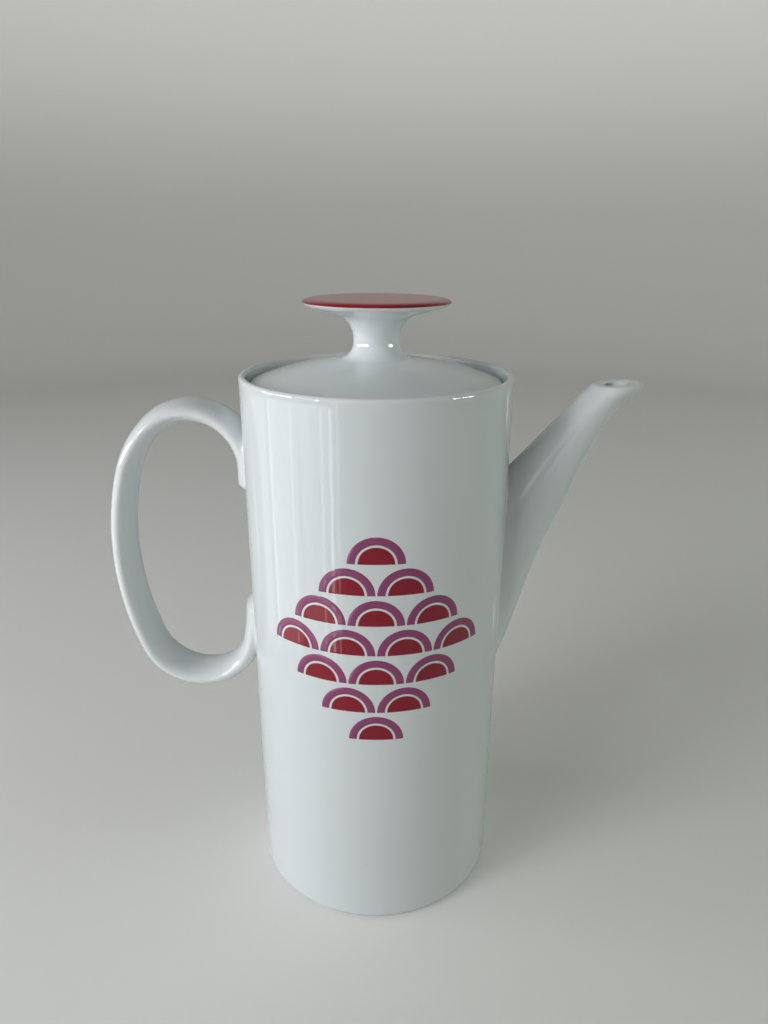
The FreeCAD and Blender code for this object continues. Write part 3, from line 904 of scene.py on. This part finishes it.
x, z, heading = handle_path(along)
around = np.linspace(0, 2 * np.pi, HANDLE_COLUMNS, endpoint=False)
width = (swell * RIBBON_WIDTH / 2)[:, None] * np.sin(around)
depth = (swell * RIBBON_THICKNESS / 2)[:, None] * np.cos(around)
ribbon = np.stack([
    x[:, None] + depth * np.cos(heading)[:, None],
    width,
    z[:, None] + depth * np.sin(heading)[:, None],
], axis=-1)
print("ribbon grid:", ribbon.shape[0], "by", ribbon.shape[1], "points")

# %% Wipe slip into the corners and build the handle
HANDLE_DEPTH = 1.2 * MM
HANDLE_SLIP = 1.7 * MM
RIDGE_SHARE = 0.35
RIDGE_POWER = 8


def grid_normals(grid):
    """Outward normals of a grid that wraps along its rows: cross products of its two neighbour steps."""
    row_step = np.gradient(grid, axis=0)
    column_step = np.roll(grid, -1, axis=1) - np.roll(grid, 1, axis=1)
    return unit(np.cross(column_step, row_step))


def wipe_slip(grid, reach):
    """Push points near the wall along it by reach - sqrt(reach^2 - (reach - d)^2), d away from it."""
    distance = np.maximum(above_wall(grid), -HANDLE_DEPTH)
    held = onto_wall(grid, distance)
    gap = reach - np.clip(distance, 0, reach)
    push = reach - np.sqrt(reach ** 2 - gap ** 2)
    normal = grid_normals(grid)
    out = wall_normal(grid)
    sideways = normal - (normal * out).sum(axis=-1)[..., None] * out
    return onto_wall(held + push[..., None] * sideways, distance)


ribbon = wipe_slip(ribbon, HANDLE_SLIP)
numbers = grid_numbers(*ribbon.shape[:2])
tip_points = np.array([ribbon[0].mean(axis=0), ribbon[-1].mean(axis=0)])
handle_points = np.vstack([ribbon.reshape(-1, 3), tip_points])
handle = make_piece("handle_loop", handle_points, turned_faces(numbers), white_glaze)
# the ribbon's two edges take some of the thin-glaze colour: thin glaze and a painted highlight
ridge = RIDGE_SHARE * np.abs(np.sin(around)) ** RIDGE_POWER * np.ones_like(along)[:, None]
add_mask(handle, "thin", np.concatenate([ridge.ravel(), [0, 0]]))
dress(handle, "pot", "porcelain", "handle")

# %% [markdown]
# ## The lid
# The cover and its knob leave the kiln as one glazed thing, so one turned surface stands for both:
# a shallow dome, a waisted stem that sweeps out of it, and a thin disc. Below it a ring drops into
# the pot and keeps the lid from sliding off when coffee is poured. The dome and the sweep of the
# stem are two circles that touch, so the place where one gives way to the other follows from their
# radii.

# %% Sizes of the lid
cover_low, cover_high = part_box("lid_cover")
knob_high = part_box("lid_knob")[1]
LID_RADIUS = cover_high.y
RING_FOOT = cover_low.z
DISC_RADIUS = knob_high.y
DISC_TOP = knob_high.z
LID_EDGE_LEVEL = 206.2 * MM
DOME_RADIUS = 127.0 * MM
LID_THICKNESS = 3.6 * MM
RING_RADIUS = 41.4 * MM
RING_THICKNESS = 3.0 * MM
WAIST_RADIUS = 8.4 * MM
STEM_SWEEP = 6.2 * MM
STEM_HEAD_LEVEL = 228.15 * MM
STEM_HEAD_SWEEP = 8.5 * MM
DISC_UNDER_LEVEL = 232.9 * MM
DISC_ROLL = 3.8 * MM
DISC_DROP = 0.95 * MM
LID_STEP = 2.5 * MM
LID_CORNER = 2.6 * MM
LID_ROUNDS = np.array([1.4, 1.2, 1.2, 0.6, 0.8, 2.2]) * MM
DISC_BEVEL = np.array([1.9, 1.15]) * MM
DISC_UNDER_ROUND = 1.5 * MM
DISC_EDGE_ROUND = 0.25 * MM
COAT_SKIN = 0.25 * MM

dome_centre = LID_EDGE_LEVEL - math.sqrt(DOME_RADIUS ** 2 - LID_RADIUS ** 2)
print(f"lid {2 * LID_RADIUS / MM:.1f} mm across, disc {2 * DISC_RADIUS / MM:.1f} mm across")

# %% Circles of the dome and roll of the disc


def on_dome(radius, at):
    """Level of the dome's circle of a given radius at a distance from the axis."""
    return dome_centre + math.sqrt(radius ** 2 - at ** 2)


def dome_angle(radius, at):
    """Angle of that place as seen from the dome's centre, in degrees above level."""
    return math.degrees(math.acos(at / radius))


def rolled_edge(radius, level, drop):
    """Quarter oval from the widest point of a disc up to its flat top: DISC_ROLL wide and drop high."""
    angle = np.linspace(0, np.pi / 2, 2 * ARC_STEPS + 1)
    return np.array([radius, level]) - np.array([DISC_ROLL, drop]) * (1 - circle(angle))


print(f"dome {(on_dome(DOME_RADIUS, 0) - LID_EDGE_LEVEL) / MM:.1f} mm high over its edge")

# %% Outline of the lid
under_radius = DOME_RADIUS - LID_THICKNESS
ring_inner = RING_RADIUS - RING_THICKNESS
under_end = dome_angle(under_radius, ring_inner - LID_CORNER)
under_dome = arc((0, dome_centre), under_radius, 90, under_end, 3 * ARC_STEPS)

sweep_radius = WAIST_RADIUS + STEM_SWEEP
sweep_level = on_dome(DOME_RADIUS + STEM_SWEEP, sweep_radius)
touch_angle = dome_angle(DOME_RADIUS + STEM_SWEEP, sweep_radius)
dome_start = dome_angle(DOME_RADIUS, LID_RADIUS - LID_CORNER)
dome = arc((0, dome_centre), DOME_RADIUS, dome_start, touch_angle, 3 * ARC_STEPS)
stem_foot = arc((sweep_radius, sweep_level), STEM_SWEEP, touch_angle + 180, 180, 2 * ARC_STEPS)

lid_corners = rounded([
    under_dome[-1],
    (ring_inner, on_dome(under_radius, ring_inner)),
    (ring_inner, RING_FOOT),
    (RING_RADIUS, RING_FOOT),
    (RING_RADIUS, SEAT_LEVEL),
    (LID_RADIUS, SEAT_LEVEL),
    (LID_RADIUS, LID_EDGE_LEVEL),
    dome[0],
], LID_ROUNDS)
disc_corners = rounded([
    stem_foot[-1],
    (WAIST_RADIUS, STEM_HEAD_LEVEL),
    (DISC_RADIUS - DISC_BEVEL[0], DISC_UNDER_LEVEL),
    (DISC_RADIUS, DISC_UNDER_LEVEL + DISC_BEVEL[1]),
    (DISC_RADIUS, DISC_TOP - DISC_DROP),
    (DISC_RADIUS - COAT_SKIN, DISC_TOP - DISC_DROP),
], [STEM_HEAD_SWEEP, DISC_UNDER_ROUND, DISC_EDGE_ROUND, COAT_SKIN / 4])
disc_top = rolled_edge(DISC_RADIUS - COAT_SKIN, DISC_TOP, DISC_DROP)
lid_bends = [
    under_dome,
    *lid_corners[1:-1],
    dome,
    stem_foot[1:],
    *disc_corners[1:-1],
    disc_top,
    np.array([(0, DISC_TOP)]),
]
lid_profile = outline(lid_bends, LID_STEP)
print("lid outline:", len(lid_profile), "points")

# %% Turn the lid
DISC_THIN_AND_HIGHLIGHT_WIDTH = 0.5 * MM

lid = turned_piece("lid_shell", lid_profile, white_glaze)
radius, level = lid_profile.T
on_seat = (np.abs(level - SEAT_LEVEL) < SEAT_WIPED) & (radius > RING_RADIUS + LID_ROUNDS[3])
add_mask(lid, "bare", ring_mask(on_seat.astype(float)))
# the white edge of the disc takes the thin-glaze colour: thin glaze and a painted highlight
disc_rim = (level > STEM_HEAD_LEVEL) & (radius > DISC_RADIUS - DISC_THIN_AND_HIGHLIGHT_WIDTH)
add_mask(lid, "thin", ring_mask(THIN_AND_HIGHLIGHT_SHARE * disc_rim))
dress(lid, "lid", "porcelain", "lid_cover", "lid_knob")

# %% [markdown]
# ## The red coat on the knob
# The disc is dipped in crimson enamel, which wets its flat top and rolls over the edge, where it
# runs a little thicker and darker before it stops at a thin line of white. The coat is another
# turned shell: it comes up out of the disc just inside the widest point, follows the rolled edge,
# and lies flat on top.

# %% Turn the coat
coat_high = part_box("knob_enamel")[1]
COAT_TOP = coat_high.z
COAT_STOP = 0.05 * MM
COAT_DROP = COAT_TOP - DISC_TOP + DISC_DROP - COAT_STOP
COAT_STEP = 1.5 * MM

coat_edge = rolled_edge(DISC_RADIUS, COAT_TOP, COAT_DROP)
coat_foot = np.array([(DISC_RADIUS - 2 * COAT_SKIN, DISC_TOP - DISC_DROP)])
coat_profile = outline([
    np.array([(0, DISC_TOP - DISC_DROP)]),
    coat_foot,
    coat_edge,
    np.array([(0, COAT_TOP)]),
], COAT_STEP)
coat = turned_piece("knob_coat", coat_profile, crimson)
coat_slope = np.clip((coat_profile[:, 0] - DISC_RADIUS + DISC_ROLL) / DISC_ROLL, 0, 1)
add_mask(coat, "thin", ring_mask(coat_slope ** 2))
dress(coat, "lid", "red_enamel", "knob_enamel")

# %% [markdown]
# ## The ornament
# The ornament is a transfer print fired onto the glaze: upright half-round fans in staggered rows
# that make a lozenge, each a mauve band over a red heart. Colour in the pot's material could show
# it, but a film with its own edge stays crisp and keeps the two colours apart. All fans of one
# colour are one array: a flat patch of points, laid on the tapered wall once for each fan. The
# outermost ring of points dips into the glaze and a copy below closes the film.

# %% Places of the fans
PRINT_LEVEL = 124.6 * MM
PRINT_TURN = 4.0
FAN_RADIUS = 9.9 * MM
FAN_BAND = 2.9 * MM
FAN_GAP = 0.7 * MM
FAN_COLUMN_PITCH = 20.4 * MM
FAN_ROW_PITCH = 11.5 * MM
FAN_ROWS = [1, 2, 3, 4, 3, 2, 1]


def fan_feet(side):
    """Angle and level of the middle of each fan's flat foot, for the front (-1) or the back (1)."""
    counts = np.array(FAN_ROWS)
    row = np.repeat(np.arange(len(counts)), counts)
    column = np.concatenate([np.arange(count) - (count - 1) / 2 for count in counts])
    low = PRINT_LEVEL - FAN_RADIUS / 2 - (len(counts) - 1) / 2 * FAN_ROW_PITCH
    middle = side * math.radians(90 - PRINT_TURN)
    angle = middle + column * FAN_COLUMN_PITCH / wall_radius(PRINT_LEVEL)
    return angle, low + row * FAN_ROW_PITCH


print(sum(FAN_ROWS), "fans on each side")

# %% Patches for band and heart
FILM_EDGE = 0.12 * MM
BAND_STEPS = (4, 44)
HEART_STEPS = (14, 22)


def inset_steps(length, steps):
    """Shares from 0 to 1 with one narrow step of FILM_EDGE at each end."""
    edge = FILM_EDGE / length
    return np.concatenate([[0], np.linspace(edge, 1 - edge, steps), [1]])


def band_patch(outer, inner):
    """Half ring of points rho (cos a, sin a), rho from outer to inner and a from 0 to 180 degrees."""
    across = inset_steps(outer - inner, BAND_STEPS[0])[:, None]
    along = inset_steps(np.pi * outer, BAND_STEPS[1])
    rho = outer + (inner - outer) * across
    return rho[..., None] * circle(np.pi * along)


def heart_patch(radius):
    """Half disc from its four sides: the flat foot, and the arc cut in three at 45 and 135 degrees.

    A point is the sum of its places on the lines between both pairs of opposite sides, less its
    place on the patch of the four corners alone, so that every side lies where it should.
    """
    s = inset_steps(2 * radius, HEART_STEPS[1])
    t = inset_steps(radius, HEART_STEPS[0])
    foot = np.stack([radius * (2 * s - 1), 0 * s], axis=-1)
    crown = radius * circle(np.radians(135 - 90 * s))
    left = radius * circle(np.radians(180 - 45 * t))
    right = radius * circle(np.radians(45 * t))
    s = s[None, :, None]
    t = t[:, None, None]
    sides = (1 - t) * foot + t * crown + (1 - s) * left[:, None] + s * right[:, None]
    low_corners = (1 - s) * foot[0] + s * foot[-1]
    high_corners = (1 - s) * crown[0] + s * crown[-1]
    return sides - (1 - t) * low_corners - t * high_corners


band = band_patch(FAN_RADIUS, FAN_RADIUS - FAN_BAND)
heart = heart_patch(FAN_RADIUS - FAN_BAND - FAN_GAP)
print("points of a band:", band[..., 0].size, "and of a heart:", heart[..., 0].size)

# %% Lay the film
FILM_HEIGHT = 0.05 * MM
FILM_SINK = 0.04 * MM
MERGE_DISTANCE = 0.001 * MM


def film_heights(rows, columns):
    """Height of each point of a patch over the wall: the film's, but below the glaze at the border."""
    height = np.full((rows, columns), FILM_HEIGHT)
    height[[0, -1]] = -FILM_SINK
    height[:, [0, -1]] = -FILM_SINK
    return height


def lay_patch(patch, height, feet):
    """One copy of a patch per fan: sideways distances become angles, and heights stand on the wall."""
    angle, level = [values[:, None, None] for values in feet]
    z = level + patch[..., 1]
    radius = wall_radius(z) + height
    turn_by = angle + np.arcsin(patch[..., 0] / wall_radius(PRINT_LEVEL))
    return np.stack([radius * np.cos(turn_by), radius * np.sin(turn_by), z], axis=-1)


def make_film(name, patch, side, material, node, slot):
    """Upper and lower faces of all fans, joined along their common border."""
    rows, columns = patch.shape[:2]
    feet = fan_feet(side)
    upper = lay_patch(patch, film_heights(rows, columns), feet)
    lower = lay_patch(patch, np.full((rows, columns), -FILM_SINK), feet)
    numbers = grid_numbers(rows, columns)
    sheets = np.arange(len(feet[0]))[:, None, None] * numbers.size
    up = quads(numbers) + sheets
    down = quads(numbers)[:, ::-1] + sheets + upper[..., 0].size
    faces = [up.reshape(-1, 4), down.reshape(-1, 4)]
    film = make_piece(name, np.concatenate([upper, lower]), faces, material)
    shell = bmesh.new()
    shell.from_mesh(film.data)
    bmesh.ops.remove_doubles(shell, verts=shell.verts, dist=MERGE_DISTANCE)
    shell.to_mesh(film.data)
    shell.free()
    dress(film, "pot", slot, node)


for face, side in (("front", -1), ("back", 1)):
    make_film(f"{face}_bands", band, side, mauve_transfer, f"{face}_print_mauve", "mauve_print")
    make_film(f"{face}_hearts", heart, side, red_transfer, f"{face}_print_red", "red_print")

# %% [markdown]
# ## The stage
# The pot stands on a plain pale floor that curves up into a wall all round, so that every side has
# the same quiet background and no horizon shows. It is one more turned outline, wide and open at
# the top.

# %% Floor and wall
FLOOR_RINGS = (0.0, 0.2, 0.6)
FLOOR_RADIUS = 1.2
WALL_RADIUS = 1.8
WALL_HEIGHT = 1.9
COVE_STEPS = 24

cove = WALL_RADIUS - FLOOR_RADIUS
stage_profile = np.vstack([
    [(radius, 0) for radius in FLOOR_RINGS],
    arc((FLOOR_RADIUS, cove), cove, -90, 0, COVE_STEPS),
    [(WALL_RADIUS, WALL_HEIGHT), (0, WALL_HEIGHT)],
])
stage_rings = turned_rings(stage_profile)
stage_points = with_poles(stage_rings, stage_profile)[:-1]
open_faces = turned_faces(grid_numbers(*stage_rings.shape[:2]))[:2]
stage_faces = [part[:, ::-1] for part in open_faces]
print("stage", 2 * WALL_RADIUS, "m across")

# %% Paper of the stage
PAPER_SEEN = (0.90, 0.89, 0.87, 1)
PAPER_BOUNCE = (0.60, 0.595, 0.58, 1)
PAPER_ROUGHNESS = 0.7
PAPER_GLOW = 0.06
PAPER_WALL_PAINTED_LIGHT = 0.22
PAPER_WALL_LEVELS = (0.25, 0.85)
PAPER_MIRRORED = 0.8
GLOW_MIRRORED = 0.6


def stage_paper():
    """Paper that is pale to the camera, less so in the gloss, and sends less light back to the pot.

    It glows a little for both, and more with height up the wall as painted light that makes the upper
    wall look lit: a smooth step between two levels.
    """
    material, tree, shader = new_finish("pale_paper")
    path = tree.nodes.new("ShaderNodeLightPath")

    def seen(mirrored_share):
        mirrored = math_node(tree, "MULTIPLY", path.outputs["Is Glossy Ray"], mirrored_share)
        return math_node(tree, "MAXIMUM", path.outputs["Is Camera Ray"], mirrored)

    colour = mix_colour(tree, seen(PAPER_MIRRORED), PAPER_BOUNCE, PAPER_SEEN)
    tree.links.new(colour, shader.inputs["Base Color"])
    shader.inputs["Roughness"].default_value = PAPER_ROUGHNESS
    shader.inputs["Emission Color"].default_value = PAPER_SEEN

    place = tree.nodes.new("ShaderNodeTexCoord").outputs["Object"]
    height = tree.nodes.new("ShaderNodeSeparateXYZ")
    tree.links.new(place, height.inputs[0])
    low, high = PAPER_WALL_LEVELS
    climb = add_node(tree, "ShaderNodeMapRange", from_min=low, from_max=high)
    climb.interpolation_type = "SMOOTHSTEP"
    tree.links.new(height.outputs["Z"], climb.inputs["Value"])
    # painted light: the wall glows brighter with height
    wall_painted_light = math_node(tree, "MULTIPLY", climb.outputs[0], PAPER_WALL_PAINTED_LIGHT)
    glow = math_node(tree, "ADD", wall_painted_light, PAPER_GLOW)
    glow = math_node(tree, "MULTIPLY", seen(GLOW_MIRRORED), glow)
    tree.links.new(glow, shader.inputs["Emission Strength"])
    return material


floor = make_piece("floor", stage_points, stage_faces, stage_paper())
print("stage finish:", floor.data.materials[0].name)

# %% [markdown]
# ## The light
# Daylight falls from a wide window on the left, here four upright soft boxes of unlike strength
# side by side. A wide weak one on the right fills the shadow side, and a dim one above reaches what
# faces up. A glazed wall seen from above mirrors what stands low and near, so a few narrow strips
# close by draw its thin upright streaks. Two slats above them draw the pale lines along the spout,
# and small bright panes further off put the glints on the rim and on the stem. The soft boxes light
# the pot but don't show in the gloss, and the others show in the gloss only, so each can be set
# without upsetting the other.

# %% Soft boxes
DAYLIGHT = (0.96, 0.985, 1.0)
GARDEN_LIGHT = (0.89, 1.0, 0.88)
CEILING_LIGHT = (1.0, 0.955, 0.92)
CEILING_LEVEL = 1.6
CEILING_SIZE = 2.4
CEILING_RADIANCE = 0.095

# bearing, distance, width, levels, radiance and colour
ROOM_BOXES = {
    "pane_1": (-88, 1.1, 0.34, (0, 1.0), 1.7, DAYLIGHT),
    "pane_2": (-71, 1.1, 0.34, (0, 1.0), 1.1, DAYLIGHT),
    "pane_3": (-55, 1.1, 0.34, (0, 1.0), 5.4, DAYLIGHT),
    "pane_4": (-40, 1.1, 0.34, (0, 1.0), 2.5, DAYLIGHT),
    "garden": (85, 1.3, 1.5, (0, 0.9), 1.1, GARDEN_LIGHT),
}


def area_lamp(name, width, height, radiance, colour):
    """A rectangle of light at the origin that faces down. Its power is radiance times pi times area."""
    light = bpy.data.lights.new(name, "AREA")
    light.shape = "RECTANGLE"
    light.size = width
    light.size_y = height
    light.color = colour
    light.energy = radiance * math.pi * width * height
    lamp = add_object(name, light)
    lamp.visible_camera = False
    print(f"{name}: {light.energy:.3f} W")
    return lamp


def soft_box(name, bearing, distance, width, levels, radiance, colour):
    """An upright lamp between two levels that faces the pot. Bearing 0 is the viewer, -90 the handle."""
    lamp = area_lamp(name, width, levels[1] - levels[0], radiance, colour)
    angle = math.radians(bearing)
    lamp.location = (distance * math.sin(angle), -distance * math.cos(angle), sum(levels) / 2)
    lamp.rotation_euler = (math.pi / 2, 0, angle)
    return lamp


room_lamps = [soft_box(name, *box) for name, box in ROOM_BOXES.items()]
ceiling = area_lamp("ceiling", CEILING_SIZE, CEILING_SIZE, CEILING_RADIANCE, CEILING_LIGHT)
ceiling.location = (0, 0, CEILING_LEVEL)
for lamp in (*room_lamps, ceiling):
    lamp.visible_glossy = False

# %% Sky
SKY_COLOUR = (1.0, 0.985, 0.97, 1)
SKY_STRENGTH = 0.035
SKY_MIRRORED = 0.15

sky = bpy.data.worlds.new("sky")
sky.use_nodes = True
backdrop = sky.node_tree.nodes["Background"]
backdrop.inputs["Color"].default_value = SKY_COLOUR
glossy_ray = sky.node_tree.nodes.new("ShaderNodeLightPath").outputs["Is Glossy Ray"]
mirrored = math_node(sky.node_tree, "MULTIPLY", glossy_ray, SKY_MIRRORED)
strength = math_node(sky.node_tree, "ADD", mirrored, SKY_STRENGTH)
sky.node_tree.links.new(strength, backdrop.inputs["Strength"])
bpy.context.scene.world = sky
print("sky strength", SKY_STRENGTH, "and in the gloss", SKY_STRENGTH + SKY_MIRRORED)

# %% Strips, slats and panes for the gloss
STRIP_LEVELS = (0.002, 0.165)
SLAT_LEVELS = (0.17, 0.50)
GLINT_LEVELS = (0.17, 0.33)
# bearing, distance, width and radiance
GLOSS_STRIPS = [
    (-102, 0.24, 0.10, 0.5), (-71, 0.24, 0.12, 0.65), (-40, 0.24, 0.115, 0.7),
    (-84, 0.23, 0.006, 1.8), (-62, 0.23, 0.005, 1.8), (-36, 0.23, 0.006, 1.8),
    (-29, 0.23, 0.009, 2.4), (-24, 0.23, 0.007, 1.4), (131, 0.23, 0.012, 0.7),
]
SLATS = [(-24, 0.26, 0.05, 1.2), (3, 0.26, 0.04, 1.2)]
GLINT_PANES = [
    (-90, 1.0, 0.24, 24), (-72.5, 1.0, 0.26, 24), (-53, 1.0, 0.07, 24),
    (-44, 1.0, 0.13, 24), (67.5, 1.0, 0.085, 36), (80, 1.0, 0.2, 36),
]

gloss_lamps = (
    ("strip", STRIP_LEVELS, GLOSS_STRIPS),
    ("slat", SLAT_LEVELS, SLATS),
    ("glint", GLINT_LEVELS, GLINT_PANES),
)
for kind, levels, places in gloss_lamps:
    for number, (bearing, distance, width, radiance) in enumerate(places, start=1):
        name = f"{kind}_{number}"
        lamp = soft_box(name, bearing, distance, width, levels, radiance, DAYLIGHT)
        lamp.visible_diffuse = False
